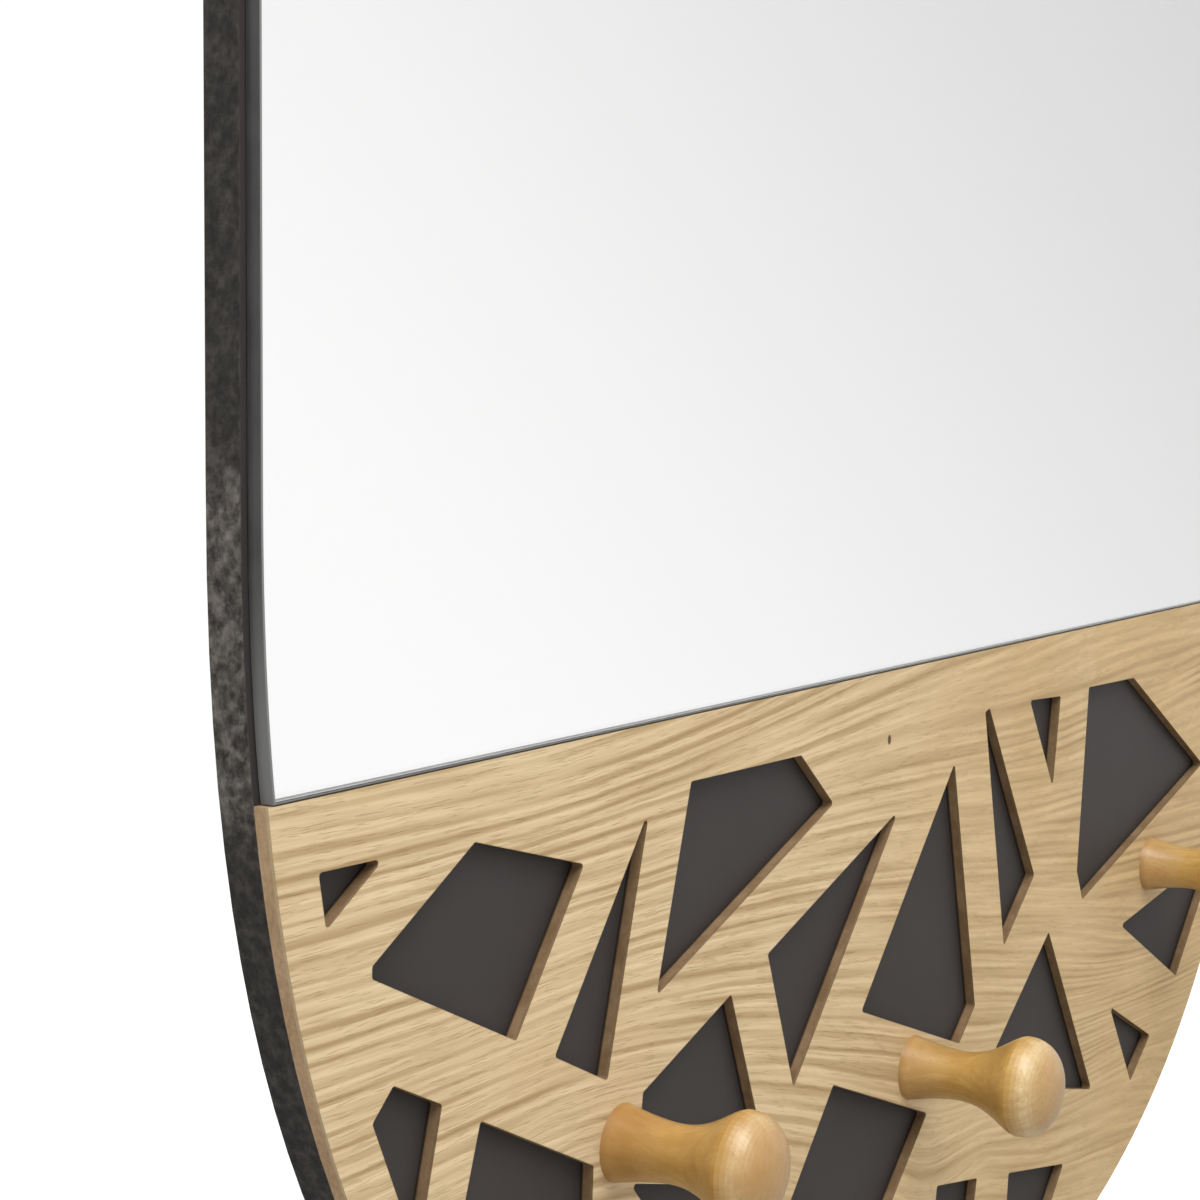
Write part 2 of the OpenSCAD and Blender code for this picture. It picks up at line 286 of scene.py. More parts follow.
def make_mottle():
    """Soft blotches, mostly of one size."""
    values = {"Position": ORIGIN, "Size": 3 * MM, "Softness": 0.15}
    tree, given, out = shared_effect("mottle", values, ["Mask"])
    per_size = tree.maths("DIVIDE", 1.0, given["Size"])
    blotches = tree.noise(tree.scaled(given["Position"], per_size), detail=4.0, roughness=0.6)
    low = tree.maths("SUBTRACT", NOISE_MIDDLE, given["Softness"])
    high = tree.maths("ADD", NOISE_MIDDLE, given["Softness"])
    tree.feed(out["Mask"], tree.ramp(blotches, low, high))
    return tree.tree


# Pressed fibres: they are longer upwards, and dust finer than they are lies between them
STRAND_STRETCH = (1.0, 1.0, 0.45)
STRANDS_SHOW = (0.36, 0.66)
DUST_FINER = 2.7
DUST_HEIGHT = 0.4


def make_pressed_fibres():
    """Short fibres pressed together, seen as specks and as small bumps."""
    values = {"Position": ORIGIN, "Fibre": 0.6 * MM}
    tree, given, out = shared_effect("pressed_fibres", values, ["Specks", "Height"])
    per_fibre = tree.maths("DIVIDE", 1.0, given["Fibre"])
    close = tree.scaled(given["Position"], per_fibre)
    strands = tree.noise(tree.times(close, STRAND_STRETCH), detail=4.0, roughness=0.7)
    dust_and_painted_light = tree.noise(tree.scaled(close, DUST_FINER), detail=2.0)
    tree.feed(out["Specks"], tree.ramp(strands, *STRANDS_SHOW))
    tree.feed(out["Height"], tree.maths("MULTIPLY_ADD", dust_and_painted_light, DUST_HEIGHT, strands))
    return tree.tree


# Worn edges: how far the rounded surface turns from the flat one on an arris, and the pattern that
# breaks the wear up
BEVEL_SAMPLES = 4
ARRIS_TURNS = (0.02, 0.2)
BREAKS_PER_METRE = 300.0
BREAKS_SHOW = (0.4, 0.62)


def make_worn_edges():
    """The arrises, and where they are worn: broken up by a rough pattern."""
    values = {"Position": ORIGIN, "Reach": 0.6 * MM}
    tree, given, out = shared_effect("worn_edges", values, ["Arris", "Wear"])
    rounded = tree.add("ShaderNodeBevel", {"Radius": given["Reach"]}, samples=BEVEL_SAMPLES)
    flat = tree.add("ShaderNodeNewGeometry").outputs["Normal"]
    turned = tree.maths("SUBTRACT", 1.0, tree.dot(rounded.outputs[0], flat))
    arris = tree.ramp(turned, *ARRIS_TURNS)
    tree.feed(out["Arris"], arris)
    breaks = tree.scaled(given["Position"], BREAKS_PER_METRE)
    broken = tree.noise(breaks, detail=4.0, roughness=0.65)
    tree.feed(out["Wear"], tree.maths("MULTIPLY", arris, tree.ramp(broken, *BREAKS_SHOW)))
    return tree.tree


WOOD_FIGURE = make_wood_figure()
MOTTLE = make_mottle()
PRESSED_FIBRES = make_pressed_fibres()
WORN_EDGES = make_worn_edges()


def empty_finish(name):
    """A material without nodes, and its tree."""
    finish = bpy.data.materials.new(name)
    finish.use_nodes = True
    finish.node_tree.nodes.clear()
    return finish, Tree(finish.node_tree)


def new_finish(name):
    """A material with its tree and its shader."""
    finish, tree = empty_finish(name)
    shader = tree.add("ShaderNodeBsdfPrincipled")
    tree.add("ShaderNodeOutputMaterial", {"Surface": shader.outputs[0]})
    return finish, tree, shader


def set_shader(tree, shader, values):
    for name, value in values.items():
        tree.feed(shader.inputs[name], value)


# Oak face: its colours
OAK_PALE = (0.80, 0.635, 0.40, 1.0)
OAK_DARK = (0.40, 0.265, 0.12, 1.0)
# This colour also serves as painted shade towards the panel's right side
OAK_WARM_AND_SHADED = (0.70, 0.50, 0.255, 1.0)
OAK_PORE = (0.25, 0.16, 0.08, 1.0)

# Its grain fans out from one side of the panel to the other, ripples and wanders. Low down it
# bends: between two places across it drops by so much
GRAIN_MIDDLE = -424 * MM
FAN_ENDS = (-180 * MM, 250 * MM)
FAN_SPREAD = (1.0, 3.2)
RIPPLES_PER_METRE = (45.0, 90.0)
GRAIN_RIPPLE = 0.7 * MM
WANDERS_PER_METRE = (7.0, 16.0)
GRAIN_WANDER = 4.3 * MM
BEND_HEIGHTS = (-540 * MM, -495 * MM)
BENDS = [(-10 * MM, 40 * MM, 8 * MM), (30 * MM, 170 * MM, 8 * MM)]

# How strongly its figure shows, from the one side to the other, how it turns darker and warmer towards
# the right, partly a painted shade, and how rough it is
RING_SIDES = (-200 * MM, 100 * MM)
RING_STRENGTH = (0.95, 0.82)
FINE_LINE_STRENGTH = (0.15, 0.85)
PORE_SIDES = (-150 * MM, 100 * MM)
PORE_OPENNESS = (1.0, 0.45)
WARM_AND_SHADED_SIDES = (-150 * MM, 200 * MM)
WARMEST_AND_SHADED = 0.8
TONE_WARMTH = 0.5
OAK_FIBRES = 0.46
OAK_PORES = 0.2
OAK_ROUGH = 0.55
PORES_ROUGHER = 0.2
FIBRE_HEIGHT = 0.4

# A small dark fleck in the oak: its middle across and up, and its size
FLECK_AT = (-28.2 * MM, -416.4 * MM)
FLECK_SIZE = (1.0 * MM, 1.3 * MM)
FLECK_EDGE = (0.3, 0.6)
FLECK_DARK = (0.12, 0.07, 0.03, 1.0)

# The panel's outer edge is sawn and lacquered. The cut-outs were burned into it: their walls are toasted
# and a little singed at the arris. They are black at the foot, partly scorch and partly painted shade
# where the wall meets the floor
SAWN_EDGE = (0.41, 0.32, 0.19, 1.0)
TOASTED = (0.18, 0.108, 0.052, 1.0)
SCORCH_AND_FOOT_SHADE = (0.016, 0.011, 0.008, 1.0)
SCORCH_AND_SHADE_DEPTHS = (-8.05 * MM, -7.5 * MM)
BLACKEST_FOOT = 0.93
SINGED_ARRIS = 0.3
WALL_FACING = (0.4, 0.8)
WALL_TINT = 0.85

# The panel's rim, without cut-outs: near the curve, whose formula gives 1 on the outline itself, and
# just under the joint
RIM_AT_CURVE = (0.94, 0.97)
RIM_AT_JOINT = (PANEL_TOP - 2 * MM, PANEL_TOP - 1 * MM)


def cut_region(tree, place):
    """1 where the cut-outs lie, falling to 0 at the panel's own outer edge."""
    across = tree.maths("ABSOLUTE", tree.maths("DIVIDE", place["X"], BOARD_HALF_W))
    middle = BOARD_BOTTOM + END_H
    up = tree.maths("ABSOLUTE", tree.maths("DIVIDE", tree.maths("SUBTRACT", place["Z"], middle), END_H))
    out = tree.powers_summed(across, up, END_FULLNESS)
    below_joint = tree.fall(place["Z"], *RIM_AT_JOINT)
    return tree.maths("MULTIPLY", tree.fall(out, *RIM_AT_CURVE), below_joint)


def bell(tree, place, middle, size):
    """A smooth hill over the panel: 1 at its middle and falling off to the sides."""
    dx = tree.maths("DIVIDE", tree.maths("SUBTRACT", place["X"], middle[0]), size[0])
    dz = tree.maths("DIVIDE", tree.maths("SUBTRACT", place["Z"], middle[1]), size[1])
    return tree.maths("EXPONENT", tree.maths("MULTIPLY", tree.powers_summed(dx, dz), -1.0))


def along_panel(tree, place, across, up):
    """The place along the panel, scaled across and up."""
    x = tree.maths("MULTIPLY", place["X"], across)
    z = tree.maths("MULTIPLY", place["Z"], up)
    return tree.join(x, 0.0, z)


def oak_grain(tree, place):
    """The panel's position, with the grain straightened so that it runs along X."""
    x = place["X"]
    z = place["Z"]
    spread = tree.ramp(x, *FAN_ENDS, *FAN_SPREAD)
    ripple = tree.sway(along_panel(tree, place, *RIPPLES_PER_METRE), detail=1.0)
    rippled = tree.maths("MULTIPLY_ADD", ripple, GRAIN_RIPPLE, z)
    up = tree.maths("DIVIDE", tree.maths("SUBTRACT", rippled, GRAIN_MIDDLE), spread)
    wander = tree.sway(along_panel(tree, place, *WANDERS_PER_METRE), detail=0.5)
    up = tree.maths("MULTIPLY_ADD", wander, GRAIN_WANDER, up)
    low = tree.fall(z, *BEND_HEIGHTS)
    for start, end, drop in BENDS:
        bend = tree.maths("MULTIPLY", low, tree.ramp(x, start, end, 0.0, -drop))
        up = tree.maths("ADD", up, bend)
    return tree.join(x, place["Y"], up)


def make_oak():
    finish, tree, shader = new_finish("oak_face_lacquered")
    position = tree.position()
    place = tree.parts(position)
    x = place["X"]
    grain = oak_grain(tree, place)
    values = {
        "Position": grain,
        "Ring Spacing": 3.1 * MM,
        "Unevenness": 2.2,
        "Fine Lines": tree.ramp(x, *FAN_ENDS, *FINE_LINE_STRENGTH),
    }
    figure = tree.place(WOOD_FIGURE, values)
    tone = tree.place(MOTTLE, {"Position": grain, "Size": 40 * MM, "Softness": 0.25})
    # Darker and warmer towards the right: partly the veneer's tone, partly painted shade where the light
    # falls off
    warm_and_shaded_side = tree.ramp(x, *WARM_AND_SHADED_SIDES, 0.0, WARMEST_AND_SHADED)
    warmth_and_shade = tree.maths("MULTIPLY_ADD", tone["Mask"], TONE_WARMTH, warm_and_shaded_side)
    pale = tree.colours(warmth_and_shade, OAK_PALE, OAK_WARM_AND_SHADED)
    ring_strength = tree.ramp(x, *RING_SIDES, *RING_STRENGTH)
    ringed = tree.tinted(figure["Rings"], ring_strength, pale, OAK_DARK)
    fibred = tree.tinted(figure["Fibres"], OAK_FIBRES, ringed, OAK_DARK)
    open_pores = tree.maths("MULTIPLY", figure["Pores"], tree.ramp(x, *PORE_SIDES, *PORE_OPENNESS))
    pored = tree.tinted(open_pores, OAK_PORES, fibred, OAK_PORE)
    fleck = tree.ramp(bell(tree, place, FLECK_AT, FLECK_SIZE), *FLECK_EDGE)
    flecked = tree.colours(fleck, pored, FLECK_DARK)
    cut = cut_region(tree, place)
    wall = tree.fall(tree.maths("ABSOLUTE", tree.facing()["Y"]), *WALL_FACING)
    edges = tree.place(WORN_EDGES, {"Position": position, "Reach": 0.5 * MM})
    side = tree.colours(cut, SAWN_EDGE, TOASTED)
    sided = tree.tinted(wall, WALL_TINT, flecked, side)
    arris = tree.maths("MULTIPLY", edges["Arris"], SINGED_ARRIS)
    fibre_height = tree.maths("MULTIPLY", figure["Fibres"], FIBRE_HEIGHT)
    hollow = tree.maths("MULTIPLY_ADD", open_pores, -1.0, fibre_height)
    values = {
        "Base Color": tree.tinted(arris, cut, sided, SCORCH_AND_FOOT_SHADE),
        "Roughness": tree.maths("MULTIPLY_ADD", open_pores, PORES_ROUGHER, OAK_ROUGH),
        "Specular IOR Level": 0.18,
        "Normal": tree.bump(hollow, distance=0.08 * MM, strength=0.6),
    }
    set_shader(tree, shader, values)
    return finish


# Turned pegs: each is cut from wood whose rings curve about a line beside it, the wood's heart,
# given across and up. The rings bend unevenly, and blotches are drawn out along the peg
PEG_PALE = (0.62, 0.385, 0.112, 1.0)
PEG_DARK = (0.385, 0.195, 0.045, 1.0)
PEG_SHEEN = (0.83, 0.70, 0.44, 1.0)
PEG_FACE = (0.46, 0.268, 0.095, 1.0)
# The pore colour also serves as the painted shadow at a peg's foot
PEG_PORE_AND_FOOT_SHADE = (0.27, 0.13, 0.035, 1.0)
PEG_HEART = (30 * MM, -550 * MM)
BENDS_PER_METRE = 30.0
RING_BEND = 6 * MM
BLOTCH_STRETCH = (1.0, 0.5, 1.0)

# Where a peg turns forward it is paler, a painted sheen on the head, and its very front, the end grain,
# is deeper in colour
SHEEN_FACING = (-0.55, 0.05)
SHEEN_SHARE = 0.6
FACE_FACING = (-0.92, -0.42)
FACE_DEPTH = 0.82

# The left peg is darker. All pegs are paler towards the head and darker towards the foot, a painted light
# and shade. Rings show less under the painted sheen
DARKER_PEG = (-110 * MM, -70 * MM)
DARKER_BY = 0.3
PEG_BLOTCHES = 0.38
PEG_TONE = 0.25
PEG_SHADE_SPAN = (-26 * MM, -12 * MM)
PEG_PAINTED_SHADES = (-0.13, 0.3)
PEG_RINGS = 0.28
RINGS_UNDER_SHEEN = -0.1
PEG_FIBRES = 0.3
PEG_PORES = 0.18
PEG_ROUGH = 0.34
FIBRES_ROUGHER = 0.08

# Painted shadow: a peg is darker where its foot stands on the panel
PEG_FOOT_SHADE = (-12.2 * MM, -10.4 * MM)
FOOT_SHADE_DARKEST = 0.45


def make_peg_wood():
    finish, tree, shader = new_finish("peg_wood_satin")
    position = tree.position()
    place = tree.parts(position)
    dx = tree.maths("SUBTRACT", place["X"], PEG_HEART[0])
    dz = tree.maths("SUBTRACT", place["Z"], PEG_HEART[1])
    out = tree.maths("SQRT", tree.powers_summed(dx, dz))
    bend = tree.noise(tree.scaled(position, BENDS_PER_METRE), detail=2.0)
    rings = tree.maths("MULTIPLY_ADD", bend, RING_BEND, out)
    values = {
        "Position": tree.join(place["Y"], dx, rings),
        "Ring Spacing": 2.1 * MM,
        "Ring Length": 60 * MM,
        "Unevenness": 1.8,
        "Pore Length": 3 * MM,
        "Pore Width": 0.3 * MM,
    }
    figure = tree.place(WOOD_FIGURE, values)
    tone = tree.place(MOTTLE, {"Position": position, "Size": 15 * MM, "Softness": 0.25})
    along = tree.times(position, BLOTCH_STRETCH)
    blotches = tree.place(MOTTLE, {"Position": along, "Size": 5 * MM, "Softness": 0.26})
    forward = tree.facing("Normal")["Y"]
    # Painted sheen: paler where the head turns forward
    painted_sheen = tree.fall(forward, *SHEEN_FACING)
    plain = tree.tinted(painted_sheen, SHEEN_SHARE, PEG_PALE, PEG_SHEEN)
    faced = tree.colours(tree.ramp(forward, *FACE_FACING, FACE_DEPTH, 0.0), plain, PEG_FACE)
    darker = tree.ramp(place["X"], *DARKER_PEG, DARKER_BY, 0.0)
    patchy = tree.weighed(blotches["Mask"], PEG_BLOTCHES, tone["Mask"], PEG_TONE)
    # Painted light and shade: paler towards the head, darker towards the foot
    painted_shade_along = tree.ramp(place["Y"], *PEG_SHADE_SPAN, *PEG_PAINTED_SHADES)
    shade = tree.maths("ADD", patchy, tree.maths("ADD", darker, painted_shade_along))
    warm = tree.colours(shade, faced, PEG_DARK)
    ring_strength = tree.maths("MULTIPLY_ADD", painted_sheen, RINGS_UNDER_SHEEN, PEG_RINGS)
    ringed = tree.tinted(figure["Rings"], ring_strength, warm, PEG_DARK)
    fibred = tree.tinted(figure["Fibres"], PEG_FIBRES, ringed, PEG_DARK)
    pored = tree.tinted(figure["Pores"], PEG_PORES, fibred, PEG_PORE_AND_FOOT_SHADE)
    # Painted shadow where the foot meets the panel
    shaded_foot = tree.ramp(place["Y"], *PEG_FOOT_SHADE, 0.0, FOOT_SHADE_DARKEST)
    values = {
        "Base Color": tree.colours(shaded_foot, pored, PEG_PORE_AND_FOOT_SHADE),
        "Roughness": tree.maths("MULTIPLY_ADD", figure["Fibres"], FIBRES_ROUGHER, PEG_ROUGH),
        "Specular IOR Level": 0.45,
        "Coat Weight": 0.45,
        "Coat Roughness": 0.22,
        "Normal": tree.bump(figure["Fibres"], distance=0.03 * MM, strength=0.5),
    }
    set_shader(tree, shader, values)
    return finish


# Bare fibreboard, and how unevenly its walls are toasted
FIBRE_PALE = (0.475, 0.325, 0.187, 1.0)
FIBRE_DARK = (0.265, 0.165, 0.086, 1.0)
FIBRE_PATCHES = 0.35
FIBRE_SPECKS = 0.4
TOAST = (0.62, 0.92)


def make_fibreboard():
    finish, tree, shader = new_finish("fibreboard_cut_edge")
    position = tree.position()
    fibres = tree.place(PRESSED_FIBRES, {"Position": position, "Fibre": 0.7 * MM})
    patches = tree.place(MOTTLE, {"Position": position, "Size": 9 * MM, "Softness": 0.2})
    shade = tree.weighed(patches["Mask"], FIBRE_PATCHES, fibres["Specks"], FIBRE_SPECKS)
    bare = tree.colours(shade, FIBRE_PALE, FIBRE_DARK)
    place = tree.parts(position)
    cut = cut_region(tree, place)
    toast = tree.ramp(patches["Mask"], 0.0, 1.0, *TOAST)
    toasted = tree.tinted(cut, toast, bare, TOASTED)
    # Black at the wall's foot: partly scorch, partly painted shade where the wall meets the floor
    shaded_foot = tree.ramp(place["Y"], *SCORCH_AND_SHADE_DEPTHS, 0.0, BLACKEST_FOOT)
    values = {
        "Base Color": tree.tinted(shaded_foot, cut, toasted, SCORCH_AND_FOOT_SHADE),
        "Roughness": 0.85,
        "Specular IOR Level": 0.2,
        "Normal": tree.bump(fibres["Height"], distance=0.1 * MM, strength=0.7),
    }
    set_shader(tree, shader, values)
    return finish


# Painted fibreboard. Its edge's pale mottle shows most near one height low down, a painted light from
# below: within the first reach of it, and least beyond the second
PAINT_FLAT = (0.0515, 0.045, 0.043, 1.0)
PAINT_FLAT_DARK = (0.044, 0.0385, 0.0365, 1.0)
PAINT_EDGE_DARK = (0.020, 0.018, 0.0165, 1.0)
PAINT_EDGE_PALE = (0.195, 0.177, 0.157, 1.0)
FACE_STARTS = (0.5, 0.8)
EDGE_SPECKS = 0.2
EDGE_SPOTS = 0.85
SPOT_SHARPNESS = 1.7
EDGE_LIT_AT = -375 * MM
EDGE_LIT_REACH = (22 * MM, 36 * MM)
EDGE_LIT_SHARES = (1.0, 0.25)
EDGE_WEAR = 0.25
FACE_BUMPS = 0.15
EDGE_ROUGH = 0.8
FACE_ROUGH = 0.6


def make_board_paint():
    """Smooth charcoal on the faces, rough and mottled where the fibres were cut."""
    finish, tree, shader = new_finish("board_paint_charcoal")
    position = tree.position()
    on_face = tree.ramp(tree.maths("ABSOLUTE", tree.facing()["Y"]), *FACE_STARTS)
    fibres = tree.place(PRESSED_FIBRES, {"Position": position, "Fibre": 0.8 * MM})
    clouds = tree.place(MOTTLE, {"Position": position, "Size": 50 * MM, "Softness": 0.25})
    blotches = tree.place(MOTTLE, {"Position": position, "Size": 2.4 * MM, "Softness": 0.26})
    wear = tree.place(WORN_EDGES, {"Position": position, "Reach": 0.5 * MM})
    face = tree.colours(clouds["Mask"], PAINT_FLAT, PAINT_FLAT_DARK)
    spots = tree.maths("POWER", blotches["Mask"], SPOT_SHARPNESS)
    rough = tree.weighed(fibres["Specks"], EDGE_SPECKS, spots, EDGE_SPOTS)
    # Painted light: the edge's pale mottle is strongest near one height low down
    away = tree.maths("ABSOLUTE", tree.maths("SUBTRACT", tree.parts(position)["Z"], EDGE_LIT_AT))
    edge_lit = tree.ramp(away, *EDGE_LIT_REACH, *EDGE_LIT_SHARES)
    edge = tree.tinted(rough, edge_lit, PAINT_EDGE_DARK, PAINT_EDGE_PALE)
    painted = tree.colours(on_face, edge, face)
    face_height = tree.maths("MULTIPLY", fibres["Height"], FACE_BUMPS)
    height = tree.colours(on_face, fibres["Height"], face_height)
    values = {
        "Base Color": tree.tinted(wear["Wear"], EDGE_WEAR, painted, PAINT_EDGE_PALE),
        "Roughness": tree.ramp(on_face, 0.0, 1.0, EDGE_ROUGH, FACE_ROUGH),
        "Specular IOR Level": 0.2,
        "Normal": tree.bump(height, distance=0.12 * MM, strength=0.6),
    }
    set_shader(tree, shader, values)
    return finish


# Glass and silver, each with a haze too faint to see as such
GLASS_TINT = (0.977, 0.98, 0.979, 1.0)
GLASS_HAZE = 0.004
SILVER = (0.955, 0.955, 0.95, 1.0)
SILVER_HAZE = 0.006

# The pane's ground edge: grinding marks run along its upright sides. It is paler low down and where it is
# seen from inside the pane: both are painted light
GROUND_DARK = (0.019, 0.0195, 0.0195, 1.0)
GROUND_PALE = (0.06, 0.06, 0.059, 1.0)
GROUND_LIT_LOW = (0.17, 0.169, 0.165, 1.0)
GROUND_ARRIS = (0.22, 0.22, 0.215, 1.0)
GROUND_INSIDE_LIT = (0.4, 0.4, 0.395, 1.0)
GRIND_PER_METRE = (3000.0, 3000.0, 40.0)
GRIND_SHOWS = (0.3, 0.7)
GRIND_SHADE = 0.3
CLOUD_SHADE = 0.6
GROUND_ROUGH = 0.38
GRIND_ROUGHER = 0.12
LIT_LOW_REACH = (5 * MM, 45 * MM)
LIT_LOW_MOST = 0.85
ARRIS_FACING = (-0.8, -0.2)


def let_light_through(tree, shader):
    """Lamps and the sky light what lies behind the glass, as they do through real glass."""
    path = tree.add("ShaderNodeLightPath").outputs
    lit = tree.maths("MAXIMUM", path["Is Shadow Ray"], path["Is Diffuse Ray"])
    clear = tree.add("ShaderNodeBsdfTransparent")
    shown = tree.either(lit, shader, clear)
    output = next(made for made in tree.tree.nodes if made.type == "OUTPUT_MATERIAL")
    tree.feed(output.inputs["Surface"], shown.outputs[0])


def make_clear_glass():
    finish, tree, shader = new_finish("clear_glass")
    haze = tree.place(MOTTLE, {"Position": tree.position(), "Size": 120 * MM, "Softness": 0.2})
    values = {
        "Base Color": GLASS_TINT,
        "Roughness": tree.maths("MULTIPLY", haze["Mask"], GLASS_HAZE),
        "IOR": 1.52,
        "Transmission Weight": 1.0,
    }
    set_shader(tree, shader, values)
    let_light_through(tree, shader)
    return finish


def make_ground_glass():
    """The pane's edge, ground matt: cloudy grey outside, with painted light paling it low down and where
    it is seen through the pane.
    """
    finish, tree, shader = new_finish("ground_glass_edge")
    position = tree.position()
    clouds = tree.place(MOTTLE, {"Position": position, "Size": 12 * MM, "Softness": 0.25})
    lines = tree.noise(tree.times(position, GRIND_PER_METRE), detail=2.0)
    grind = tree.ramp(lines, *GRIND_SHOWS)
    shade = tree.weighed(grind, GRIND_SHADE, clouds["Mask"], CLOUD_SHADE)
    plain = tree.colours(shade, GROUND_DARK, GROUND_PALE)
    above = tree.maths("SUBTRACT", tree.parts(position)["Z"], PANE_LOW)
    # Painted light: the edge turns paler within a reach of its lower rim
    dust_and_painted_light = tree.ramp(above, *LIT_LOW_REACH, LIT_LOW_MOST, 0.0)
    edge = tree.colours(dust_and_painted_light, plain, GROUND_LIT_LOW)
    arris = tree.fall(tree.facing()["Y"], *ARRIS_FACING)
    outside = tree.colours(arris, edge, GROUND_ARRIS)
    # Painted light: the edge is paler where it is seen from inside the pane, for light that passes
    # through it
    inside = tree.add("ShaderNodeNewGeometry").outputs["Backfacing"]
    values = {
        "Base Color": tree.colours(inside, outside, GROUND_INSIDE_LIT),
        "Roughness": tree.maths("MULTIPLY_ADD", grind, GRIND_ROUGHER, GROUND_ROUGH),
        "Specular IOR Level": 0.5,
        "Normal": tree.bump(lines, distance=0.03 * MM, strength=0.5),
    }
    set_shader(tree, shader, values)
    return finish


def make_silver():
    finish, tree, shader = new_finish("silver_coat")
    cloud = tree.place(MOTTLE, {"Position": tree.position(), "Size": 200 * MM, "Softness": 0.2})
    values = {
        "Base Color": SILVER,
        "Metallic": 1.0,
        "Roughness": tree.maths("MULTIPLY", cloud["Mask"], SILVER_HAZE),
    }
    set_shader(tree, shader, values)
    return finish


# Hardware and the hidden layers
TAPE_PALE = (0.70, 0.69, 0.66, 1.0)
TAPE_DARK = (0.60, 0.59, 0.56, 1.0)
SCREW_PALE = (0.72, 0.62, 0.38, 1.0)
SCREW_DARK = (0.52, 0.43, 0.25, 1.0)
PLATE_PALE = (0.66, 0.67, 0.68, 1.0)
PLATE_DARK = (0.46, 0.47, 0.48, 1.0)
BRUSHED_PER_METRE = (2600.0, 2600.0, 90.0)
METAL_WEAR = 0.4
BRUSHED_ROUGHER = 0.16
FELT_PALE = (0.30, 0.285, 0.265, 1.0)
FELT_DARK = (0.15, 0.14, 0.13, 1.0)
FELT_PATCHES = 0.3
FELT_FIBRES = 0.7


def make_metal(name, pale, dark, blotch, roughness):
    finish, tree, shader = new_finish(name)
    position = tree.position()
    patches = tree.place(MOTTLE, {"Position": position, "Size": blotch, "Softness": 0.18})
    brushed = tree.noise(tree.times(position, BRUSHED_PER_METRE), detail=2.0)
    wear = tree.place(WORN_EDGES, {"Position": position, "Reach": 0.2 * MM})
    plated = tree.colours(patches["Mask"], pale, dark)
    values = {
        "Base Color": tree.tinted(wear["Wear"], METAL_WEAR, plated, PLATE_PALE),
        "Metallic": 1.0,
        "Roughness": tree.maths("MULTIPLY_ADD", brushed, BRUSHED_ROUGHER, roughness),
        "Normal": tree.bump(brushed, distance=0.02 * MM, strength=0.4),
    }
    set_shader(tree, shader, values)
    return finish


def make_tape():
    finish, tree, shader = new_finish("mounting_tape")
    foam = tree.place(PRESSED_FIBRES, {"Position": tree.position(), "Fibre": 0.5 * MM})
    values = {
        "Base Color": tree.colours(foam["Specks"], TAPE_PALE, TAPE_DARK),
        "Roughness": 0.6,
        "Normal": tree.bump(foam["Height"], distance=0.05 * MM, strength=0.4),
    }
    set_shader(tree, shader, values)
    return finish


def make_felt():
    finish, tree, shader = new_finish("felt_pressed")
    position = tree.position()
    wool = tree.place(PRESSED_FIBRES, {"Position": position, "Fibre": 1.1 * MM})
    patches = tree.place(MOTTLE, {"Position": position, "Size": 6 * MM, "Softness": 0.2})
    shade = tree.weighed(patches["Mask"], FELT_PATCHES, wool["Specks"], FELT_FIBRES)
    values = {
        "Base Color": tree.colours(shade, FELT_PALE, FELT_DARK),
        "Roughness": 0.95,
        "Specular IOR Level": 0.1,
        "Sheen Weight": 0.35,
        "Sheen Roughness": 0.5,
        "Normal": tree.bump(wool["Height"], distance=0.4 * MM, strength=0.9),
    }
    set_shader(tree, shader, values)
    return finish


def outline_quarter(inset):
    """Points along a quarter of a rounded end, drawn in by an inset square to the curve."""
    points = []
    for step in range(PANE_STEPS + 1):
        angle = math.radians(90 * step / PANE_STEPS)
        x = BOARD_HALF_W * abs(math.cos(angle)) ** (2 / END_FULLNESS)
        z = END_H * abs(math.sin(angle)) ** (2 / END_FULLNESS)
        slope_x = (x / BOARD_HALF_W) ** (END_FULLNESS - 1) / BOARD_HALF_W
        slope_z = (z / END_H) ** (END_FULLNESS - 1) / END_H
        length = math.hypot(slope_x, slope_z)
        points.append((x - inset * slope_x / length, z - inset * slope_z / length))
    return points


def pane_outline():
    """The mirror's outline, from its lower right corner up, over the top and down again."""
    quarter = outline_quarter(GLASS_INSET)
    upper = [(x, BOARD_TOP - END_H + z) for x, z in quarter]
    lower = [(x, BOARD_BOTTOM + END_H - z) for x, z in quarter]
    kept = [point for point in lower if point[1] > PANE_LOW + CORNER_CLEAR]
    inner = kept[-1]
    outer = lower[len(kept)]
    share = (PANE_LOW - inner[1]) / (outer[1] - inner[1])
    corner = (inner[0] + share * (outer[0] - inner[0]), PANE_LOW)
    right = [corner] + kept[::-1] + upper
    left = [(-x, z) for x, z in right[-2::-1]]
    return right + left


def drawn_in(ring, amount):
    """The same ring of points, drawn in by an amount square to its sides."""
    result = []
    for i, (x, z) in enumerate(ring):
        before = Vector(ring[i - 1])
        after = Vector(ring[(i + 1) % len(ring)])
        middle = Vector((x, z))
        arriving = (middle - before).normalized()
        leaving = (after - middle).normalized()
        across = Vector((-leaving.y, leaving.x))
        inward = (Vector((-arriving.y, arriving.x)) + across).normalized()
        result.append(tuple(middle + inward * amount / inward.dot(across)))
    return result


def in_scene(name, data):
    """A new object of the scene, made of a mesh, a lamp's light or a camera's lens."""
    made = bpy.data.objects.new(name, data)
    bpy.context.scene.collection.objects.link(made)
    return made


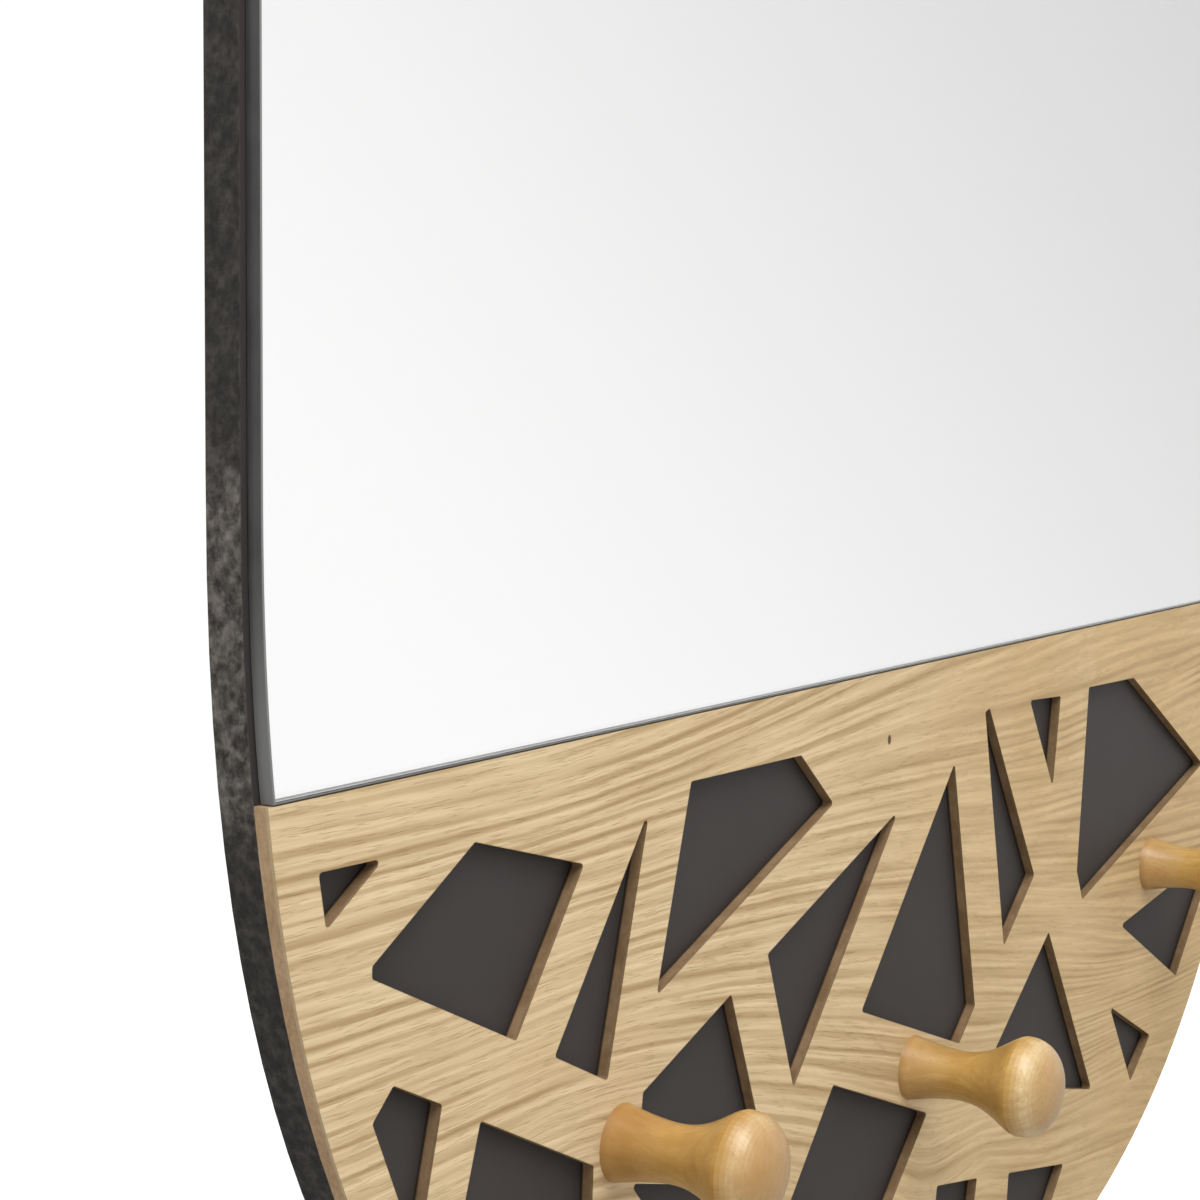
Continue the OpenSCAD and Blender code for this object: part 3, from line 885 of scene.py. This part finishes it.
def make_pane():
    """Sheet of glass with a ground edge, whose front arris is rounded over and ground too."""
    rim = pane_outline()
    rings = [(rim, PANE_BACK)]
    for step in range(ARRIS_STEPS + 1):
        angle = math.radians(90 * step / ARRIS_STEPS)
        inset = PANE_ARRIS * (1 - math.cos(angle))
        depth = PANE_FRONT + PANE_ARRIS * (1 - math.sin(angle))
        rings.append((drawn_in(rim, inset), depth))
    points = [(x, depth, z) for ring, depth in rings for x, z in ring]
    count = len(rim)
    ground = []
    for low in range(0, len(points) - count, count):
        high = low + count
        for i in range(count):
            after = (i + 1) % count
            ground.append((low + i, low + after, high + after, high + i))
    front = tuple(range(len(points) - count, len(points)))
    back = tuple(range(count - 1, -1, -1))
    mesh = bpy.data.meshes.new("mirror_pane")
    mesh.from_pydata(points, [], ground + [front, back])
    mesh.polygons.foreach_set("material_index", [1] * len(ground) + [0, 0])
    mesh.set_sharp_from_angle(angle=math.radians(SHARP_ANGLE))
    mesh.polygons.foreach_set("use_smooth", [True] * len(ground) + [False, False])
    mesh.materials.append(CLEAR_GLASS)
    mesh.materials.append(GROUND_GLASS)
    return in_scene("mirror_pane", mesh)


def dress(node, finish):
    """Gives a solid of the frame its finish."""
    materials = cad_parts[node].data.materials
    for place in range(len(materials)):
        materials[place] = finish


CLEAR_GLASS = make_clear_glass()
GROUND_GLASS = make_ground_glass()
SCREW_STEEL = make_metal("screw_steel_yellow_zinc", SCREW_PALE, SCREW_DARK, blotch=2 * MM, roughness=0.26)
PLATE_STEEL = make_metal("plate_steel_zinc", PLATE_PALE, PLATE_DARK, blotch=5 * MM, roughness=0.3)

# Finishes by the start of a node's name: the longest start that fits counts
FINISH_OF = {
    "backing_board": make_board_paint(),
    "mirror_glass": CLEAR_GLASS,
    "mirror_silvering": make_silver(),
    "tape_strip": make_tape(),
    "panel_core": make_fibreboard(),
    "panel_veneer": make_oak(),
    "peg_screws": SCREW_STEEL,
    "hanger_screws": SCREW_STEEL,
    "hanger_plate": PLATE_STEEL,
    "peg": make_peg_wood(),
    "wall_pad": make_felt(),
}
for name in sorted(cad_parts):
    kinds = [kind for kind in FINISH_OF if name.startswith(kind)]
    dress(name, FINISH_OF[max(kinds, key=len)])

pane = make_pane()
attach(pane, "root")
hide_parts("mirror_glass")


# Studio: pale floor, soft light from all round with a wide lamp above, and a white backdrop.
# The light is dimmer from one side, from the front and from below, each between two thresholds
# of how much a direction points that way
WHITE = (1.0, 1.0, 1.0, 1.0)
SKY_LIGHT = 1.03
DIM_SIDE = (0.470, 0.640, 0.607)
DIM_FACING = (-0.119, 0.478)
DIM_SIDE_LIGHT = 0.68
FRONT_SIDE = (-0.6, -0.8, 0.0)
FRONT_FACING = (0.1, 0.8)
FRONT_LIGHT = 0.7
LOWER_HEIGHTS = (-0.55, -0.2)
LOWER_LIGHT = 0.4
LAMP_AT = (-0.4, -0.35, 0.5)
LAMP_TARGET = (-0.2, -0.1, -0.45)
LAMP_SIZE = 0.9
LAMP_WATTS = 11.5
FLOOR_COLOUR = (0.46, 0.455, 0.45, 1.0)
FLOOR_GLOW = 0.8


def make_studio_light():
    world = bpy.data.worlds.new("studio_light")
    world.use_nodes = True
    world.node_tree.nodes.clear()
    tree = Tree(world.node_tree)
    direction = tree.add("ShaderNodeTexCoord").outputs["Generated"]
    aside = tree.ramp(tree.dot(direction, DIM_SIDE), *DIM_FACING, 1.0, DIM_SIDE_LIGHT)
    front = tree.ramp(tree.dot(direction, FRONT_SIDE), *FRONT_FACING, 1.0, FRONT_LIGHT)
    below = tree.ramp(tree.parts(direction)["Z"], *LOWER_HEIGHTS, LOWER_LIGHT, 1.0)
    level = tree.maths("MULTIPLY", tree.maths("MULTIPLY", aside, front), below)
    seen = tree.add("ShaderNodeLightPath").outputs["Is Camera Ray"]
    shown = tree.maths("MAXIMUM", level, seen)
    strength = tree.maths("MULTIPLY", shown, SKY_LIGHT)
    sky = tree.add("ShaderNodeBackground", {"Color": WHITE, "Strength": strength})
    tree.add("ShaderNodeOutputWorld", {"Surface": sky.outputs[0]})
    bpy.context.scene.world = world


def make_lamp():
    light = bpy.data.lights.new("wide_lamp", "AREA")
    light.size = LAMP_SIZE
    light.energy = LAMP_WATTS
    lamp = in_scene("wide_lamp", light)
    lamp.location = LAMP_AT
    aim = Vector(LAMP_TARGET) - Vector(LAMP_AT)
    lamp.rotation_euler = aim.to_track_quat("-Z", "Y").to_euler()


def make_floor_finish():
    """Pale floor that the camera sees nearly white, and that fades into the backdrop."""
    finish, tree = empty_finish("studio_floor")
    place = tree.parts(tree.position())
    out = tree.maths("SQRT", tree.powers_summed(place["X"], place["Y"]))
    gone = tree.ramp(out, *FLOOR_FADES)
    dull = tree.add("ShaderNodeBsdfDiffuse", {"Color": FLOOR_COLOUR})
    glow = tree.add("ShaderNodeEmission", {"Color": WHITE, "Strength": FLOOR_GLOW})
    both = tree.add("ShaderNodeAddShader")
    tree.feed(both.inputs[0], dull.outputs[0])
    tree.feed(both.inputs[1], glow.outputs[0])
    seen = tree.add("ShaderNodeLightPath").outputs["Is Camera Ray"]
    shown = tree.either(seen, dull, both)
    faded = tree.either(gone, shown, tree.add("ShaderNodeBsdfTransparent"))
    tree.add("ShaderNodeOutputMaterial", {"Surface": faded.outputs[0]})
    return finish


def make_floor():
    turns = [FULL_TURN * step / FLOOR_STEPS for step in range(FLOOR_STEPS)]
    points = [(FLOOR_RADIUS * math.cos(a), FLOOR_RADIUS * math.sin(a), FLOOR_Z) for a in turns]
    mesh = bpy.data.meshes.new("studio_floor")
    mesh.from_pydata(points, [], [tuple(range(FLOOR_STEPS))])
    mesh.materials.append(make_floor_finish())
    floor = in_scene("studio_floor", mesh)


def make_camera():
    lens = bpy.data.cameras.new("photo_camera")
    lens.lens = LENS_MM
    lens.sensor_width = SENSOR_MM
    lens.clip_start = NEAREST_SEEN
    camera = in_scene("photo_camera", lens)
    upright = Matrix.Rotation(math.radians(90), 4, "X")
    yaw = Matrix.Rotation(math.radians(-CAMERA_YAW), 4, "Z")
    pitch = Matrix.Rotation(math.radians(-CAMERA_PITCH), 4, "X")
    roll = Matrix.Rotation(math.radians(CAMERA_ROLL), 4, "Z")
    camera.matrix_world = Matrix.Translation(CAMERA_AT) @ yaw @ upright @ pitch @ roll
    bpy.context.scene.camera = camera


make_studio_light()
make_lamp()
make_floor()
make_camera()
bpy.context.scene.view_settings.view_transform = "Standard"
